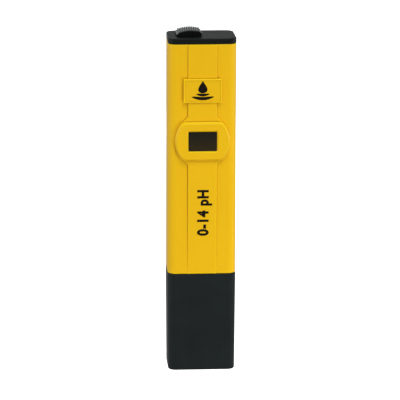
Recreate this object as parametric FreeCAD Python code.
"""Pocket pH tester: a one-piece sleeve with a raised display bezel, a battery drawer with the on/off
slider on top, and a glass pH electrode under a pull-off protective cap.

Millimetres. +Z is up the tester and -Y is its display side. Pieces are drawn round the tester's long
axis and then moved back by half the bezel's height, so that the origin is the middle of the overall
outline, at the cap's bottom. Each function makes one kind of piece; PARTS at the end names every piece,
and one STEP file is written for each.
"""

import FreeCAD
import Part
import math
import os

# ---- driving dimensions: outside shape ---------------------------------------------------------------
OVERALL_LENGTH = 150.0        # cap bottom to the crest of the slider
BODY_WIDTH = 29.6             # at the display side
BODY_DEPTH = 21.0             # side panels to back, without spine and bezel
CORNER_R = 3.6                # vertical corners of the section
SIDE_TAPER = math.radians(0.6)  # each side leans in towards the back
LID_TOP_Z = 147.2             # top face of the lid
SLEEVE_TOP_Z = 144.7          # lid meets sleeve
SLEEVE_BOTTOM_Z = 43.5        # sleeve meets protective cap
WALL = 1.8
END_R = 0.35                  # on the outer edges where sleeve, lid and cap meet

# ---- display side ------------------------------------------------------------------------------------
DISPLAY_Z = 102.6             # centre of window and bezel
BEZEL_FACE = 2.5              # bezel face above the side panels
BEZEL_R = 11.95
BEZEL_HALF_HEIGHT = 8.5
BEZEL_CORNER_R = 3.0
BEZEL_CHAMFER = 0.8
WINDOW_W, WINDOW_H = 12.4, 8.6
WINDOW_BEVEL = 0.55
LENS_HALF_W, LENS_HALF_H, LENS_T = 7.7, 5.8, 1.0  # the lens's flange, behind the bezel's face
LENS_DEPTH = 1.5              # bezel face to flange
GLASS_HALF_W, GLASS_HALF_H = 10.0, 6.3
SPINE_HALF = 6.25
SPINE_RISE = 0.95             # spine above the side panels beside the bezel
SPINE_SAG = 2.0e-4            # per mm squared away from the bezel
SPINE_EDGE_R = 0.35
FLARE = 2.0                   # concave flare from spine to bezel
PLATE_W, PLATE_H, PLATE_Z = 16.6, 10.4, 124.7
PLATE_FACE = 1.65
PLATE_RIM, PLATE_SINK = 0.6, 0.25

# ---- fits --------------------------------------------------------------------------------------------
CAP_GAP = 0.15                # cap over spigot, each side
PLUG_GAP = 0.05               # glued plug in sleeve, each side
SLIDE_GAP = 0.1               # drawer in sleeve, slider in lid
LENS_GAP, GLASS_GAP = 0.1, 0.2
SEAL_GAP = 0.05               # seal in its groove, each way

# ---- on/off slider and switch ------------------------------------------------------------------------
SLIDER_X = -5.45              # slider's middle when off
SLIDER_W, SLIDER_D = 10.9, 10.5
ARCH_R, ARCH_SHIFT = 15.2, 0.65  # the arch's crest sits a little towards the display's middle
RIB_PITCH, RIB_R, RIB_H = 0.98, 0.4, 0.52
SLIDER_TRAVEL = 3.5
KEEPER_Z0 = 144.4             # foot of the slider's keeper, which holds it under the lid
LEVER_Y = -6.7
LEVER_TOP_Z = 142.5
SWITCH_T = 3.0

# ---- battery drawer ----------------------------------------------------------------------------------
CELL_R, CELL_T, CELLS = 5.8, 5.4, 4
CELL_Y, CELL_Z = 1.9, 134.2
TRAY_BOTTOM_Z = 127.6
CHEEK_X0, CHEEK_X1 = 11.5, 12.2  # side walls of the bay, which carry the contacts
BAY_BACK_Y = 8.5

# ---- circuit board -----------------------------------------------------------------------------------
BOARD_HALF, BOARD_FRONT, BOARD_BACK = 11.6, -5.2, -4.2
BOARD_Z0, BOARD_Z1 = 56.0, 140.0
LEAD_X, LEAD_Z, LEAD_R = 2.0, 63.0, 0.5  # where the electrode's leads meet the board
TRIMMER_Z = 84.0
TRIMMER_SCREW_TIP_Y = 7.9
ACCESS_R = 1.6                # screwdriver hole in the back

# ---- protective cap and electrode --------------------------------------------------------------------
CAP_TOP_Z = SLEEVE_BOTTOM_Z - 0.1
CAP_DRAFT = 0.24              # the cap's foot lies inside the sleeve's outline by this
CAP_PROUD = 0.1               # and its rim stands outside it by this
CAP_WALL, CAP_FLOOR, CAP_EDGE_R = 1.7, 1.8, 0.7
SPIGOT_INSET = CAP_WALL + CAP_GAP - 0.05
SPIGOT_Z0, PLUG_Z1 = 30.0, 50.0
CAP_SEAL_Z0, CAP_SEAL_Z1 = 33.0, 35.0  # groove in the spigot
HOLDER_SEAL_Z0, HOLDER_SEAL_Z1 = 46.0, 47.6  # groove in the plug
GROOVE_DEPTH = 0.8
GUARD_R, GUARD_BORE_R, GUARD_Z0 = 7.5, 6.1, 5.2
GUARD_SLOT_W, GUARD_SLOT_Z1 = 5.2, 17.2
STEM_R, STEM_WALL = 3.5, 0.4
TUBE_R, TUBE_BORE_R, TUBE_Z0, TUBE_Z1 = 6.0, 4.9, 17.5, 52.0
BULB_R, BULB_Z = 4.3, 11.6
NECK_TOP_Z = 18.0
POTTING_T = 1.6

FRONT = -BODY_DEPTH / 2
BACK = BODY_DEPTH / 2
INNER_BACK = BACK - WALL
UP = FreeCAD.Vector(0, 0, 1)
OUT = FreeCAD.Vector(0, -1, 0)


# ---- shared shapes -----------------------------------------------------------------------------------
def vec(x, y, z):
    return FreeCAD.Vector(x, y, z)


def box(x0, x1, y0, y1, z0, z1):
    """Block between two corners."""
    return Part.makeBox(x1 - x0, y1 - y0, z1 - z0, vec(x0, y0, z0))


def rounded_wire(points, radii):
    """Closed wire through the points, each corner rounded by its radius (0 keeps it sharp)."""
    ends = []
    count = len(points)
    for i, corner in enumerate(points):
        if radii[i] <= 0:
            ends.append((corner, None, corner))
            continue
        to_last = (points[i - 1] - corner).normalize()
        to_next = (points[(i + 1) % count] - corner).normalize()
        half = to_last.getAngle(to_next) / 2
        back_off = radii[i] / math.tan(half)
        bisector = (to_last + to_next).normalize()
        centre = corner + bisector * (radii[i] / math.sin(half))
        ends.append((corner + to_last * back_off, centre - bisector * radii[i], corner + to_next * back_off))
    edges = []
    for i, (start, middle, end) in enumerate(ends):
        if middle is not None:
            edges.append(Part.Arc(start, middle, end).toShape())
        following = ends[(i + 1) % count][0]
        if end.distanceToPoint(following) > 1e-6:
            edges.append(Part.LineSegment(end, following).toShape())
    return Part.Wire(edges)


def slab(points, radii, along):
    """Solid made by moving a rounded outline along a vector."""
    return Part.Face(rounded_wire(points, radii)).extrude(along)


def plan_slab(outline, radius, y0, y1):
    """Solid from an (x, z) outline, from depth y0 to y1, with equal corner radii."""
    points = [vec(x, y0, z) for x, z in outline]
    return slab(points, [radius] * len(points), vec(0, y1 - y0, 0))


def rectangle(half_w, z_mid, half_h):
    """Corner points (x, z) of a rectangle centred on x = 0."""
    low, high = z_mid - half_h, z_mid + half_h
    return [(-half_w, low), (half_w, low), (half_w, high), (-half_w, high)]


def section(inset, z):
    """The tester's rounded, slightly tapered outline at height z, moved in by inset."""
    front, back = FRONT + inset, BACK - inset
    side = BODY_WIDTH / 2 - inset / math.cos(SIDE_TAPER)
    half_front = side - (front - FRONT) * math.tan(SIDE_TAPER)
    half_back = side - (back - FRONT) * math.tan(SIDE_TAPER)
    corners = [(-half_front, front), (half_front, front), (half_back, back), (-half_back, back)]
    return rounded_wire([vec(x, y, z) for x, y in corners], [max(CORNER_R - inset, 0.5)] * 4)


def prism(inset, z0, z1):
    """The outline at that inset, from z0 to z1."""
    return Part.Face(section(inset, z0)).extrude(vec(0, 0, z1 - z0))


def hoop(outer_inset, inner_inset, z0, z1):
    """A band that follows the outline, between two insets."""
    return prism(outer_inset, z0, z1).cut(prism(inner_inset, z0 - 1, z1 + 1))


def tube(r_out, r_in, z0, z1):
    """Round tube on the electrode's axis."""
    outside = Part.makeCylinder(r_out, z1 - z0, vec(0, 0, z0))
    return outside.cut(Part.makeCylinder(r_in, z1 - z0 + 2, vec(0, 0, z0 - 1)))


def rod_x(radius, x0, x1, y=CELL_Y, z=CELL_Z):
    """Cylinder along X, on the battery axis unless told otherwise."""
    return Part.makeCylinder(radius, x1 - x0, vec(x0, y, z), vec(1, 0, 0))


def edges_where(shape, test):
    """Edges whose every vertex and middle passes the test."""
    chosen = []
    for edge in shape.Edges:
        middle = edge.valueAt((edge.FirstParameter + edge.LastParameter) / 2)
        if all(test(p) for p in [middle] + [v.Point for v in edge.Vertexes]):
            chosen.append(edge)
    return chosen


def near(a, b):
    return abs(a - b) < 1e-4


# ---- sleeve and display window -----------------------------------------------------------------------
def spine_face_y(z):
    """Depth of the spine's gently bowed face."""
    return FRONT - SPINE_RISE + SPINE_SAG * (z - DISPLAY_Z) ** 2


def spine():
    """Raised strip down the middle of the display side, flaring out where it meets the bezel."""
    root = FRONT + 1.0
    flare_x = SPINE_HALF + FLARE
    top, bottom = DISPLAY_Z + BEZEL_HALF_HEIGHT, DISPLAY_Z - BEZEL_HALF_HEIGHT
    right = [
        (SPINE_HALF, SLEEVE_BOTTOM_Z + END_R / 2, 0), (SPINE_HALF, bottom - FLARE, FLARE), (flare_x, bottom, 0),
        (flare_x, top, 0), (SPINE_HALF, top + FLARE, FLARE), (SPINE_HALF, SLEEVE_TOP_Z - END_R / 2, 0),
    ]
    outline = right + [(-x, z, r) for x, z, r in reversed(right)]
    strip = slab([vec(x, root, z) for x, z, _ in outline], [r for _, _, r in outline], vec(0, -3, 0))
    low, high = SLEEVE_BOTTOM_Z - 1, SLEEVE_TOP_Z + 1
    bow = [vec(-15, spine_face_y(z), z) for z in (low, DISPLAY_Z, high)]
    sides = [bow[2], vec(-15, root, high), vec(-15, root, low), bow[0]]
    edges = [Part.Arc(*bow).toShape()] + [Part.LineSegment(a, b).toShape() for a, b in zip(sides, sides[1:])]
    strip = strip.common(Part.Face(Part.Wire(edges)).extrude(vec(30, 0, 0)))
    face_edges = edges_where(strip, lambda p: p.y < FRONT + 0.5 and abs(p.x) > SPINE_HALF - 1e-3)
    return strip.makeFillet(SPINE_EDGE_R, face_edges)


def bezel():
    """Round boss with flat top and bottom that carries the window, bevelled all round its face."""
    disc = Part.makeCylinder(BEZEL_R, BEZEL_FACE + 1, vec(0, FRONT + 1, DISPLAY_Z), OUT)
    low, high = DISPLAY_Z - BEZEL_HALF_HEIGHT, DISPLAY_Z + BEZEL_HALF_HEIGHT
    boss = disc.common(box(-20, 20, FRONT - 10, 0, low, high))
    corners = edges_where(boss, lambda p: (near(p.z, low) or near(p.z, high)) and abs(p.x) > SPINE_HALF)
    boss = boss.makeFillet(BEZEL_CORNER_R, [e for e in corners if near(e.Length, BEZEL_FACE + 1)])
    face_y = FRONT - BEZEL_FACE
    boss = boss.makeChamfer(BEZEL_CHAMFER, edges_where(boss, lambda p: near(p.y, face_y)))
    return boss.makeFillet(0.25, edges_where(boss, lambda p: near(p.y, face_y)))


def plate():
    """Raised name plate with a thin rim, left blank."""
    face_y = FRONT - PLATE_FACE
    block = plan_slab(rectangle(PLATE_W / 2, PLATE_Z, PLATE_H / 2), 0.6, FRONT + 1, face_y)
    block = block.makeFillet(0.3, edges_where(block, lambda p: near(p.y, face_y)))
    inside = rectangle(PLATE_W / 2 - PLATE_RIM, PLATE_Z, PLATE_H / 2 - PLATE_RIM)
    return block.cut(plan_slab(inside, 0.3, face_y + PLATE_SINK, face_y - 1))


def body_sleeve():
    shell = prism(0, SLEEVE_BOTTOM_Z, SLEEVE_TOP_Z)
    ends = edges_where(shell, lambda p: near(p.z, SLEEVE_TOP_Z) or near(p.z, SLEEVE_BOTTOM_Z))
    shell = shell.makeFillet(END_R, ends)
    shell = shell.fuse([spine(), bezel(), plate()]).removeSplitter()
    shell = shell.cut(prism(WALL, SLEEVE_BOTTOM_Z - 1, SLEEVE_TOP_Z + 1))
    face_y = FRONT - BEZEL_FACE
    window = plan_slab(rectangle(WINDOW_W / 2, DISPLAY_Z, WINDOW_H / 2), 0.5, 0, face_y - 1)
    lens_room = rectangle(LENS_HALF_W + LENS_GAP, DISPLAY_Z, LENS_HALF_H + LENS_GAP)
    lens_pocket = plan_slab(lens_room, 0.5, 0, face_y + LENS_DEPTH)
    glass_room = rectangle(GLASS_HALF_W + GLASS_GAP, DISPLAY_Z, GLASS_HALF_H + GLASS_GAP)
    glass_pocket = plan_slab(glass_room, 0.5, 0, face_y + LENS_DEPTH + LENS_T)
    access = Part.makeCylinder(ACCESS_R, WALL + 2, vec(0, INNER_BACK - 1, TRIMMER_Z), vec(0, 1, 0))
    shell = shell.cut([window, lens_pocket, glass_pocket, access])
    hole_rim = edges_where(shell, lambda p: near(p.y, BACK) and abs(p.x) < 3 and abs(p.z - TRIMMER_Z) < 3)
    shell = shell.makeChamfer(0.25, hole_rim)
    sill = edges_where(shell, lambda p: near(p.y, face_y) and abs(p.x) < 6.5 and abs(p.z - DISPLAY_Z) < 4.6)
    return shell.makeChamfer(WINDOW_BEVEL, sill)


def window_lens():
    """Clear stepped lens: the flange is glued behind the bezel's face, the step fills the opening."""
    flange_y = FRONT - BEZEL_FACE + LENS_DEPTH
    flange = plan_slab(rectangle(LENS_HALF_W, DISPLAY_Z, LENS_HALF_H), 0.5, flange_y + LENS_T, flange_y)
    opening = rectangle(WINDOW_W / 2 - 0.05, DISPLAY_Z, WINDOW_H / 2 - 0.05)
    step = plan_slab(opening, 0.45, flange_y, flange_y - 0.9)
    return flange.fuse(step).removeSplitter()


# ---- display and circuit board -----------------------------------------------------------------------
LCD_FRONT = FRONT - BEZEL_FACE + LENS_DEPTH + LENS_T + 0.2
GLASS_T, FILM_T = 1.0, 0.15
PADS_HALF = 4.2               # the rear glass stops here and leaves room for the contact strips


def lcd_glass():
    front = plan_slab(rectangle(GLASS_HALF_W, DISPLAY_Z, GLASS_HALF_H), 0.2, LCD_FRONT + GLASS_T, LCD_FRONT)
    rear_y = LCD_FRONT + 2 * GLASS_T
    rear = plan_slab(rectangle(GLASS_HALF_W, DISPLAY_Z, PADS_HALF), 0.2, rear_y, LCD_FRONT + GLASS_T)
    return Part.makeCompound([front, rear])


def lcd_polarizers():
    front = plan_slab(rectangle(9.4, DISPLAY_Z, 4.6), 0.2, LCD_FRONT, LCD_FRONT - FILM_T)
    back_y = LCD_FRONT + 2 * GLASS_T
    rear = plan_slab(rectangle(9.4, DISPLAY_Z, 4.0), 0.2, back_y + FILM_T, back_y)
    return Part.makeCompound([front, rear])


def zebra_strips():
    """Two rubber strips that carry the display's signals from the glass to the board."""
    low, high = PADS_HALF + 0.1, PADS_HALF + 2.0
    pads_y = LCD_FRONT + GLASS_T
    upper = box(-9.5, 9.5, pads_y, BOARD_FRONT, DISPLAY_Z + low, DISPLAY_Z + high)
    lower = box(-9.5, 9.5, pads_y, BOARD_FRONT, DISPLAY_Z - high, DISPLAY_Z - low)
    return Part.makeCompound([upper, lower])


def lcd_frame():
    """Plastic frame on the board that backs the glass and holds the strips upright."""
    back_y = LCD_FRONT + 2 * GLASS_T
    frame = plan_slab(rectangle(10.9, DISPLAY_Z, 7.6), 1.0, BOARD_FRONT, back_y + 0.3)
    holes = [rectangle(9.6, DISPLAY_Z, 3.1)] + [rectangle(9.6, DISPLAY_Z + s * 5.25, 1.05) for s in (-1, 1)]
    for outline in holes:
        frame = frame.cut(plan_slab(outline, 0.2, 0, FRONT))
    return frame


def circuit_board():
    outline = rectangle(BOARD_HALF, (BOARD_Z0 + BOARD_Z1) / 2, (BOARD_Z1 - BOARD_Z0) / 2)
    board = plan_slab(outline, 0.6, BOARD_BACK, BOARD_FRONT)
    drills = []
    for x, z in [(-9.5, 60), (9.5, 60), (-9.5, 118), (9.5, 118)]:
        drills.append(Part.makeCylinder(0.9, 4, vec(x, -6, z), vec(0, 1, 0)))
    for x in (-LEAD_X, LEAD_X):
        drills.append(Part.makeCylinder(LEAD_R - 0.05, 4, vec(x, -6, LEAD_Z), vec(0, 1, 0)))
    return board.cut(drills)


DRIVER_Z, DRIVER_HALF = 80.0, 5.0
AMPLIFIER_X, AMPLIFIER_Z = -4.5, 66.0


def driver_chip():
    """Display driver and converter, a square flat pack."""
    top_y = BOARD_FRONT - 2.2
    chip = plan_slab(rectangle(DRIVER_HALF, DRIVER_Z, DRIVER_HALF), 0.4, BOARD_FRONT - 0.2, top_y)
    chip = chip.makeChamfer(0.35, edges_where(chip, lambda p: near(p.y, top_y)))
    dot = Part.makeCylinder(0.5, 0.2, vec(-3.8, top_y - 0.1, DRIVER_Z + 3.8), vec(0, 1, 0))
    return chip.cut(dot)


def gull_pin(x, z, dx, dz, half):
    """One bent pin, leaving the package in the direction (dx, dz) and landing on the board."""
    reach, foot, thick = 0.7, 0.8, 0.2
    y_top = BOARD_FRONT - 1.0

    def bar(a, b, y0, y1):
        xs = sorted((x + dx * a, x + dx * b)) if dx else [x - half, x + half]
        zs = sorted((z + dz * a, z + dz * b)) if dz else [z - half, z + half]
        return box(xs[0], xs[1], y0, y1, zs[0], zs[1])

    shoulder = bar(0, reach, y_top - thick, y_top)
    leg = bar(reach - thick, reach, y_top - thick, BOARD_FRONT)
    toe = bar(reach - thick, reach + foot, BOARD_FRONT - thick, BOARD_FRONT)
    return shoulder.fuse([leg, toe]).removeSplitter()


def driver_chip_pins():
    pins = []
    for i in range(11):
        step = (i - 5) * 0.8
        pins.append(gull_pin(DRIVER_HALF, DRIVER_Z + step, 1, 0, 0.17))
        pins.append(gull_pin(-DRIVER_HALF, DRIVER_Z + step, -1, 0, 0.17))
        pins.append(gull_pin(step, DRIVER_Z + DRIVER_HALF, 0, 1, 0.17))
        pins.append(gull_pin(step, DRIVER_Z - DRIVER_HALF, 0, -1, 0.17))
    return Part.makeCompound(pins)


def amplifier_chip():
    """High-impedance amplifier for the electrode, eight pins."""
    y0, y1 = BOARD_FRONT - 1.75, BOARD_FRONT - 0.2
    chip = box(AMPLIFIER_X - 1.95, AMPLIFIER_X + 1.95, y0, y1, AMPLIFIER_Z - 2.45, AMPLIFIER_Z + 2.45)
    return chip.makeChamfer(0.3, edges_where(chip, lambda p: near(p.y, y0)))


def amplifier_pins():
    pins = []
    for i in range(4):
        z = AMPLIFIER_Z + (i - 1.5) * 1.27
        pins.append(gull_pin(AMPLIFIER_X + 1.95, z, 1, 0, 0.22))
        pins.append(gull_pin(AMPLIFIER_X - 1.95, z, -1, 0, 0.22))
    return Part.makeCompound(pins)


def chip_resistors():
    """A row of small resistors either side of the amplifier."""
    return Part.makeCompound(
        [
            box(x - 0.6, x + 0.6, BOARD_FRONT - 0.55, BOARD_FRONT, z - 1.0, z + 1.0)
            for x in (2.5, 5.0, 7.5)
            for z in (60.5, 64.5, 68.5)
        ]
    )


def capacitors():
    """Two moulded capacitors by the battery contacts' tails."""
    made = []
    for x in (-5.0, 5.0):
        block = box(x - 1.6, x + 1.6, BOARD_FRONT - 2.4, BOARD_FRONT, 119.0, 125.0)
        made.append(block.makeFillet(0.3, edges_where(block, lambda p: near(p.y, BOARD_FRONT - 2.4))))
    return Part.makeCompound(made)


SCREW_R = 1.15
TRIMMER_X0, TRIMMER_X1, TRIMMER_TOP_Y = -7.9, 1.7, 6.2


def trimmer_body():
    """Calibration trimmer standing on the back of the board."""
    body = box(TRIMMER_X0, TRIMMER_X1, BOARD_BACK + 0.4, TRIMMER_TOP_Y, TRIMMER_Z - 2.4, TRIMMER_Z + 2.4)
    body = body.makeFillet(0.4, edges_where(body, lambda p: near(p.y, TRIMMER_TOP_Y)))
    feet = [
        box(x, x + 1, BOARD_BACK, BOARD_BACK + 0.4, TRIMMER_Z - 2, TRIMMER_Z + 2)
        for x in (TRIMMER_X0 + 0.5, TRIMMER_X1 - 1.5)
    ]
    well = Part.makeCylinder(SCREW_R + 0.05, 3, vec(0, TRIMMER_TOP_Y - 2, TRIMMER_Z), vec(0, 1, 0))
    return body.fuse(feet).cut(well).removeSplitter()


def trimmer_screw():
    """Brass adjusting screw with a screwdriver slot, facing the hole in the back."""
    bottom_y = TRIMMER_TOP_Y - 1.95
    length = TRIMMER_SCREW_TIP_Y - bottom_y
    screw = Part.makeCylinder(SCREW_R, length, vec(0, bottom_y, TRIMMER_Z), vec(0, 1, 0))
    screw = screw.makeChamfer(0.15, edges_where(screw, lambda p: near(p.y, TRIMMER_SCREW_TIP_Y)))
    return screw.cut(box(-2, 2, TRIMMER_SCREW_TIP_Y - 0.7, 20, TRIMMER_Z - 0.25, TRIMMER_Z + 0.25))


def inner_chassis():
    """Two grooved rails for the board, and the floor and cheeks of the battery bay."""
    rails_z0, floor_z0, floor_z1, cheek_top = 55.0, 125.6, 127.0, 140.4
    pieces = [box(-CHEEK_X1, CHEEK_X1, BOARD_BACK + 0.1, BAY_BACK_Y, floor_z0, floor_z1)]
    for s in (-1, 1):
        lo, hi = sorted((s * 11.1, s * 12.5))
        pieces.append(box(lo, hi, -7.0, -2.0, rails_z0, floor_z1))
        lo, hi = sorted((s * CHEEK_X0, s * CHEEK_X1))
        pieces.append(box(lo, hi, BOARD_BACK + 0.1, BAY_BACK_Y, floor_z1 - 1, cheek_top))
    chassis = pieces[0].fuse(pieces[1:])
    groove = box(-11.65, 11.65, BOARD_FRONT - 0.05, BOARD_BACK + 0.05, rails_z0 - 1, 150)
    chassis = chassis.cut(groove).common(prism(WALL + 0.02, rails_z0 - 1, cheek_top + 1))
    return chassis.removeSplitter()


def battery_contact(side):
    """Sprung strip on a cheek: a bowed tongue on the end cell and a tail soldered to the board."""
    thick, crest, cheek = 0.25, CELLS * CELL_T / 2 + 0.05, CHEEK_X0
    z0, z1 = CELL_Z - 4.6, CELL_Z + 4.6
    y0, y1 = CELL_Y - 2.4, CELL_Y + 2.4
    outer = Part.Arc(vec(cheek - thick, y0, z0), vec(crest, y0, CELL_Z), vec(cheek - thick, y0, z1)).toShape()
    inner = Part.Arc(vec(cheek, y0, z1), vec(crest + thick, y0, CELL_Z), vec(cheek, y0, z0)).toShape()
    ends = [
        Part.LineSegment(vec(cheek - thick, y0, z1), vec(cheek, y0, z1)).toShape(),
        Part.LineSegment(vec(cheek, y0, z0), vec(cheek - thick, y0, z0)).toShape(),
    ]
    tongue = Part.Face(Part.Wire([outer, ends[0], inner, ends[1]])).extrude(vec(0, y1 - y0, 0))
    foot = box(cheek - thick, cheek, BOARD_BACK, y1, z0 - 1.6, z0)
    strip = tongue.fuse(foot).removeSplitter()
    return strip if side > 0 else strip.mirror(vec(0, 0, 0), vec(1, 0, 0))


# ---- slide switch on the board -----------------------------------------------------------------------
SWITCH_MID_X = SLIDER_X + SLIDER_TRAVEL / 2
SWITCH_Z0, SWITCH_Z1 = 135.4, 139.7
SWITCH_HALF = 5.25
LEVER_HALF = 0.75


def switch_housing():
    """Folded metal can of the slide switch, open along the top for its lever."""
    x0, x1 = SWITCH_MID_X - SWITCH_HALF, SWITCH_MID_X + SWITCH_HALF
    can = box(x0, x1, BOARD_FRONT - SWITCH_T, BOARD_FRONT, SWITCH_Z0, SWITCH_Z1)
    can = can.makeFillet(0.3, edges_where(can, lambda p: near(p.y, BOARD_FRONT - SWITCH_T)))
    y0, y1 = BOARD_FRONT - SWITCH_T + 0.4, BOARD_FRONT - 0.5
    hollow = box(x0 + 0.4, x1 - 0.4, y0, y1, SWITCH_Z0 + 0.9, SWITCH_Z1 - 0.35)
    reach = LEVER_HALF + SLIDER_TRAVEL / 2 + 0.15
    slot_x0, slot_x1 = SWITCH_MID_X - reach, SWITCH_MID_X + reach
    slot = box(slot_x0, slot_x1, LEVER_Y - 0.75, LEVER_Y + 0.75, SWITCH_Z1 - 2, SWITCH_Z1 + 1)
    return can.cut([hollow, slot])


def switch_lever():
    x0, x1 = SLIDER_X - LEVER_HALF, SLIDER_X + LEVER_HALF
    stem = box(x0, x1, LEVER_Y - 0.6, LEVER_Y + 0.6, SWITCH_Z0 + 1.2, LEVER_TOP_Z)
    stem = stem.makeChamfer(0.2, edges_where(stem, lambda p: near(p.z, LEVER_TOP_Z)))
    x0, x1 = SLIDER_X - 1.9, SLIDER_X + 1.9
    carriage = box(x0, x1, LEVER_Y - 0.9, LEVER_Y + 0.85, SWITCH_Z0 + 1.0, SWITCH_Z0 + 2.4)
    return stem.fuse(carriage).removeSplitter()


def switch_terminals():
    middles = [SWITCH_MID_X + 3 * side for side in (-1, 0, 1)]
    y0, z0 = BOARD_FRONT - 0.3, SWITCH_Z0 - 1.5
    return Part.makeCompound([box(x - 0.4, x + 0.4, y0, BOARD_FRONT, z0, SWITCH_Z0) for x in middles])


# ---- battery drawer ----------------------------------------------------------------------------------
SKIRT_INSET = WALL + SLIDE_GAP
SKIRT_WALL = 1.3
SKIRT_Z0 = 140.6
LID_UNDER_Z = 145.6
LID_SEAL_Z0, LID_SEAL_Z1, LID_SEAL_DEPTH = 142.0, 143.3, 0.6  # the skirt's groove
FORK_NOTCH = (-9.0, 3.2, -9.5, -6.0)  # x and y, cut in skirt and seal for the slider's fork


def top_cap():
    """Lid with a skirt that plugs into the sleeve, and a slot for the slider's stem."""
    lid = prism(0, SLEEVE_TOP_Z + 0.05, LID_TOP_Z)
    lid = lid.makeFillet(0.4, edges_where(lid, lambda p: near(p.z, LID_TOP_Z)))
    lid = lid.makeChamfer(0.2, edges_where(lid, lambda p: near(p.z, SLEEVE_TOP_Z + 0.05)))
    skirt = hoop(SKIRT_INSET, SKIRT_INSET + SKIRT_WALL, SKIRT_Z0, SLEEVE_TOP_Z + 1)
    hollow = prism(SKIRT_INSET + SKIRT_WALL, SLEEVE_TOP_Z - 1, LID_UNDER_Z)
    cap = lid.cut(hollow).fuse(skirt).removeSplitter()
    slot_half = 1.5 + SLIDER_TRAVEL / 2 + SLIDE_GAP
    slot = box(SWITCH_MID_X - slot_half, SWITCH_MID_X + slot_half, -3.1, 3.1, LID_UNDER_Z - 1, LID_TOP_Z + 1)
    fork_notch = box(*FORK_NOTCH, SKIRT_Z0 - 1, LID_UNDER_Z)
    seal_groove = hoop(0, SKIRT_INSET + LID_SEAL_DEPTH, LID_SEAL_Z0, LID_SEAL_Z1)
    return cap.cut([slot, fork_notch, seal_groove])


def lid_seal():
    """Square-section rubber ring in the skirt's groove, open where the skirt is notched for the fork."""
    inside = SKIRT_INSET + LID_SEAL_DEPTH - SEAL_GAP
    ring = hoop(SKIRT_INSET - 0.05, inside, LID_SEAL_Z0 + SEAL_GAP, LID_SEAL_Z1 - SEAL_GAP)
    return ring.cut(box(*FORK_NOTCH, LID_SEAL_Z0 - 1, LID_SEAL_Z1 + 1))


def battery_tray():
    """Cradle that hangs under the lid: a back wall and a trough for the cells, with sunk polarity marks."""
    half_x = CELLS * CELL_T / 2
    y0, y1 = CELL_Y - 5.6, INNER_BACK - SLIDE_GAP
    trough = box(-half_x, half_x, y0, y1, TRAY_BOTTOM_Z, SKIRT_Z0 - 0.05)
    trough = trough.makeFillet(
        0.8, edges_where(trough, lambda p: near(p.z, TRAY_BOTTOM_Z) and near(abs(p.x), half_x))
    )
    web = box(-half_x, half_x, 4.6, 6.8, SKIRT_Z0 - 1, LID_UNDER_Z)
    hangers = [box(x, x + 2.2, y0, 6, SKIRT_Z0 - 1, LID_UNDER_Z) for x in (-half_x, half_x - 2.2)]
    tray = trough.fuse([web] + hangers)
    finger_notch = box(-3.5, 3.5, y0 - 1, CELL_Y + 4, TRAY_BOTTOM_Z - 1, CELL_Z - 3.2)
    mark_x, mark_z, arm = 7.6, TRAY_BOTTOM_Z + 1.15, 0.75
    marks = [
        box(s * mark_x - half_w, s * mark_x + half_w, y0 - 1, y0 + 0.3, mark_z - half_h, mark_z + half_h)
        for s, half_w, half_h in ((1, arm, 0.18), (1, 0.18, arm), (-1, arm, 0.18))
    ]
    return tray.cut([rod_x(CELL_R + 0.08, -half_x - 1, half_x + 1), finger_notch] + marks).removeSplitter()


def cell(index):
    """Alkaline button cell: can, sealing ring and negative cap, pole to pole with its neighbours."""
    x0 = -CELLS * CELL_T / 2 + index * CELL_T
    can = rod_x(CELL_R, x0 + 0.8, x0 + CELL_T)
    can = can.makeFillet(0.5, edges_where(can, lambda p: near(p.x, x0 + CELL_T)))
    can = can.makeFillet(0.3, edges_where(can, lambda p: near(p.x, x0 + 0.8)))
    ring = rod_x(CELL_R - 0.5, x0 + 0.6, x0 + 0.8).cut(rod_x(CELL_R - 0.9, x0, x0 + 2))
    pole = rod_x(CELL_R - 0.9, x0, x0 + 0.8)
    pole = pole.makeFillet(0.3, edges_where(pole, lambda p: near(p.x, x0)))
    return Part.makeCompound([can, ring, pole])


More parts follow.
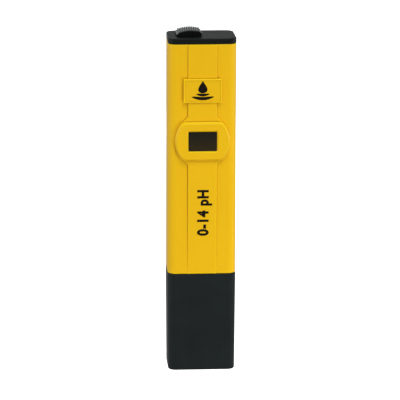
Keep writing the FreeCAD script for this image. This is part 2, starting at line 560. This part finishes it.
def power_slider():
    """Arched, ribbed thumb slider with a stem through the lid and a fork over the switch lever."""
    base_z = LID_TOP_Z + SLIDE_GAP
    x0, x1 = SLIDER_X - SLIDER_W / 2, SLIDER_X + SLIDER_W / 2
    y0 = -SLIDER_D / 2
    crest = vec(SLIDER_X + ARCH_SHIFT, y0, OVERALL_LENGTH - RIB_H)
    centre = crest - UP * ARCH_R

    def arch_point(x):
        return vec(x, y0, centre.z + math.sqrt(ARCH_R ** 2 - (x - centre.x) ** 2))

    left, right = arch_point(x0), arch_point(x1)
    foot = [left, vec(x0, y0, base_z), vec(x1, y0, base_z), right]
    lines = [Part.LineSegment(a, b).toShape() for a, b in zip(foot, foot[1:])]
    arch = Part.Face(Part.Wire([Part.Arc(right, crest, left).toShape()] + lines)).extrude(vec(0, SLIDER_D, 0))
    upright = edges_where(arch, lambda p: near(abs(p.x - SLIDER_X), SLIDER_W / 2) and p.z < right.z + 0.01)
    arch = arch.makeFillet(0.6, [e for e in upright if e.Length < SLIDER_D - 1])
    ribs = []
    for i in range(-5, 5):
        rib = Part.makeCylinder(RIB_R, SLIDER_D, vec(0, y0, ARCH_R + RIB_H - RIB_R), vec(0, 1, 0))
        rib.rotate(vec(0, 0, 0), vec(0, 1, 0), math.degrees(i * RIB_PITCH / ARCH_R))
        rib.translate(vec(centre.x, 0, centre.z))
        ribs.append(rib)
    top = arch.fuse(ribs).removeSplitter()
    stem = box(SLIDER_X - 1.5, SLIDER_X + 1.5, -3.0, 3.0, KEEPER_Z0 + 0.6, base_z + 0.5)
    keeper = box(SLIDER_X - 2.7, SLIDER_X + 2.7, -4.2, 4.2, KEEPER_Z0, LID_UNDER_Z - SLIDE_GAP)
    arm = box(SLIDER_X - 1.95, SLIDER_X + 1.95, LEVER_Y - 0.7, -4.0, KEEPER_Z0, LID_UNDER_Z - SLIDE_GAP)
    tines = []
    for s in (-1, 1):
        lo, hi = sorted((SLIDER_X + s * (LEVER_HALF + 0.1), SLIDER_X + s * (LEVER_HALF + 1.2)))
        tines.append(box(lo, hi, LEVER_Y - 0.7, LEVER_Y + 0.7, SKIRT_Z0 + 0.3, KEEPER_Z0 + 0.2))
    return top.fuse([stem, keeper, arm] + tines).removeSplitter()


# ---- electrode ---------------------------------------------------------------------------------------
def electrode_holder():
    """Plug glued in the sleeve's lower end; its spigot carries the cap and the electrode."""
    plug = prism(WALL + PLUG_GAP, SLEEVE_BOTTOM_Z, PLUG_Z1)
    spigot = prism(SPIGOT_INSET, SPIGOT_Z0, SLEEVE_BOTTOM_Z)
    spigot = spigot.makeChamfer(0.6, edges_where(spigot, lambda p: near(p.z, SPIGOT_Z0)))
    holder = plug.fuse(spigot).removeSplitter()
    bore = Part.makeCylinder(TUBE_R + 0.05, 40, vec(0, 0, 20))
    seal_grooves = [
        hoop(0, SPIGOT_INSET + GROOVE_DEPTH, CAP_SEAL_Z0, CAP_SEAL_Z1),
        hoop(0, WALL + PLUG_GAP + GROOVE_DEPTH, HOLDER_SEAL_Z0, HOLDER_SEAL_Z1),
    ]
    return holder.cut([bore] + seal_grooves)


def cap_seal():
    """Rubber ring on the spigot that keeps the electrode wet under the cap."""
    inside = SPIGOT_INSET + GROOVE_DEPTH - SEAL_GAP
    return hoop(SPIGOT_INSET - 0.08, inside, CAP_SEAL_Z0 + SEAL_GAP, CAP_SEAL_Z1 - SEAL_GAP)


def holder_seal():
    inside = WALL + PLUG_GAP + GROOVE_DEPTH - SEAL_GAP
    return hoop(WALL + 0.01, inside, HOLDER_SEAL_Z0 + SEAL_GAP, HOLDER_SEAL_Z1 - SEAL_GAP)


def electrode_guard():
    """Sleeve round the bulb, slotted so that the sample can reach it."""
    guard = tube(GUARD_R, GUARD_BORE_R, GUARD_Z0, SPIGOT_Z0)
    tip = edges_where(guard, lambda p: near(p.z, GUARD_Z0) and near(math.hypot(p.x, p.y), GUARD_R))
    guard = guard.makeFillet(0.6, tip)
    half = GUARD_SLOT_W / 2
    slot = slab(
        [vec(-half, -10, GUARD_Z0 - 5), vec(half, -10, GUARD_Z0 - 5), vec(half, -10, GUARD_SLOT_Z1),
         vec(-half, -10, GUARD_SLOT_Z1)],
        [0, 0, half - 0.05, half - 0.05], vec(0, 20, 0),
    )
    crossing = slot.copy()
    crossing.rotate(vec(0, 0, 0), UP, 90)
    grips = [Part.makeTorus(GUARD_R + 0.25, 0.6, vec(0, 0, z)) for z in (20.5, 22.5, 24.5)]
    return guard.cut([slot, crossing] + grips)


def electrode_body():
    """Reference chamber: plastic tube round the glass stem."""
    return tube(TUBE_R, TUBE_BORE_R, TUBE_Z0, TUBE_Z1)


def glass_stem():
    return tube(STEM_R, STEM_R - STEM_WALL, NECK_TOP_Z, TUBE_Z1 - 2)


def glass_bulb():
    """Thin pH-sensitive bulb, blown onto the end of the stem."""
    def half_profile(bulb_r, neck_r):
        meet = BULB_Z + math.sqrt(bulb_r ** 2 - neck_r ** 2)
        bottom = vec(0, 0, BULB_Z - bulb_r)
        belly = vec(bulb_r, 0, BULB_Z)
        return vec(neck_r, 0, NECK_TOP_Z), vec(neck_r, 0, meet), belly, bottom

    outer = half_profile(BULB_R, STEM_R)
    inner = half_profile(BULB_R - STEM_WALL, STEM_R - STEM_WALL)
    wire = Part.Wire([
        Part.LineSegment(outer[0], outer[1]).toShape(),
        Part.Arc(outer[1], outer[2], outer[3]).toShape(),
        Part.LineSegment(outer[3], inner[3]).toShape(),
        Part.Arc(inner[3], inner[2], inner[1]).toShape(),
        Part.LineSegment(inner[1], inner[0]).toShape(),
        Part.LineSegment(inner[0], outer[0]).toShape(),
    ])
    return Part.Face(wire).revolve(vec(0, 0, 0), UP, 360)


def junction_ring():
    """Porous reference junction, filling the gap between stem and tube at the tip."""
    return tube(TUBE_BORE_R, STEM_R, TUBE_Z0, TUBE_Z0 + 2.5)


def stem_ring():
    """Rubber ring that centres the stem in the tube."""
    middle = (TUBE_BORE_R + STEM_R) / 2
    return Part.makeTorus(middle, (TUBE_BORE_R - STEM_R) / 2 - 0.01, vec(0, 0, 30))


def potting_plug():
    """Resin that closes the electrode's upper end round its two wires."""
    return Part.makeCylinder(TUBE_R, POTTING_T, vec(0, 0, TUBE_Z1))


def silver_wire(x, z0, radius):
    """Chloride-coated wire: one in the stem, one in the reference chamber."""
    return Part.makeCylinder(radius, TUBE_Z1 - z0, vec(x, 0, z0))


def lead(x):
    """Insulated wire from the potting plug up and over to the back of the board."""
    bend = 3.0
    start, corner, end = vec(x, 0, TUBE_Z1 + POTTING_T), vec(x, 0, LEAD_Z), vec(x, BOARD_BACK, LEAD_Z)
    below, beyond = corner + vec(0, 0, -bend), corner + vec(0, -bend, 0)
    centre = vec(x, -bend, LEAD_Z - bend)
    middle = centre + vec(0, bend, bend) * math.sqrt(0.5)
    path = Part.Wire([
        Part.LineSegment(start, below).toShape(),
        Part.Arc(below, middle, beyond).toShape(),
        Part.LineSegment(beyond, end).toShape(),
    ])
    profile = Part.Wire([Part.Circle(start, UP, LEAD_R).toShape()])
    return path.makePipeShell([profile], True, False)


# ---- protective cap ----------------------------------------------------------------------------------
def protective_cap():
    """Closed cup that slides over the spigot; slightly drafted, rounded at its foot."""
    outside = Part.makeLoft([section(CAP_DRAFT, 0), section(-CAP_PROUD, CAP_TOP_Z)], True, True)
    outside = outside.makeFillet(CAP_EDGE_R, edges_where(outside, lambda p: near(p.z, 0)))
    inset_top = CAP_WALL - 0.05
    hollow = [section(CAP_DRAFT + CAP_WALL, CAP_FLOOR), section(inset_top, SPIGOT_Z0 - 1)]
    inside = Part.makeLoft(hollow, True, True)
    mouth = prism(inset_top, SPIGOT_Z0 - 1, CAP_TOP_Z + 1)
    cap = outside.cut([inside, mouth])
    rim = edges_where(cap, lambda p: near(p.z, CAP_TOP_Z) and (abs(p.x) > 13.4 or abs(p.y) > 9.3))
    return cap.makeFillet(END_R, rim)


PARTS = {
    "body_sleeve": body_sleeve,
    "window_lens": window_lens,
    "lcd_glass": lcd_glass,
    "lcd_polarizers": lcd_polarizers,
    "lcd_frame": lcd_frame,
    "zebra_strips": zebra_strips,
    "circuit_board": circuit_board,
    "driver_chip": driver_chip,
    "driver_chip_pins": driver_chip_pins,
    "amplifier_chip": amplifier_chip,
    "amplifier_pins": amplifier_pins,
    "chip_resistors": chip_resistors,
    "capacitors": capacitors,
    "trimmer_body": trimmer_body,
    "trimmer_screw": trimmer_screw,
    "inner_chassis": inner_chassis,
    "contact_positive": lambda: battery_contact(1),
    "contact_negative": lambda: battery_contact(-1),
    "switch_housing": switch_housing,
    "switch_lever": switch_lever,
    "switch_terminals": switch_terminals,
    "top_cap": top_cap,
    "lid_seal": lid_seal,
    "battery_tray": battery_tray,
    "power_slider": power_slider,
    "electrode_holder": electrode_holder,
    "cap_seal": cap_seal,
    "holder_seal": holder_seal,
    "electrode_guard": electrode_guard,
    "electrode_body": electrode_body,
    "glass_stem": glass_stem,
    "glass_bulb": glass_bulb,
    "junction_ring": junction_ring,
    "stem_ring": stem_ring,
    "potting_plug": potting_plug,
    "measuring_wire": lambda: silver_wire(0, 12.5, 0.4),
    "reference_wire": lambda: silver_wire((TUBE_BORE_R + STEM_R) / 2, 32.0, 0.3),
    "measuring_lead": lambda: lead(-LEAD_X),
    "reference_lead": lambda: lead(LEAD_X),
    "protective_cap": protective_cap,
}
for number in range(CELLS):
    PARTS[f"battery_cell_{number + 1}"] = lambda index=number: cell(index)


def main():
    os.makedirs("parts", exist_ok=True)
    for name, make in PARTS.items():
        shape = make()
        shape.translate(vec(0, BEZEL_FACE / 2, 0))
        if not shape.isValid() or not shape.Solids:
            raise ValueError(f"{name} is not a valid solid")
        shape.exportStep(f"parts/{name}.step")
        print(f"{name}: {len(shape.Solids)} solid(s), {shape.Volume:.1f} mm3")


main()
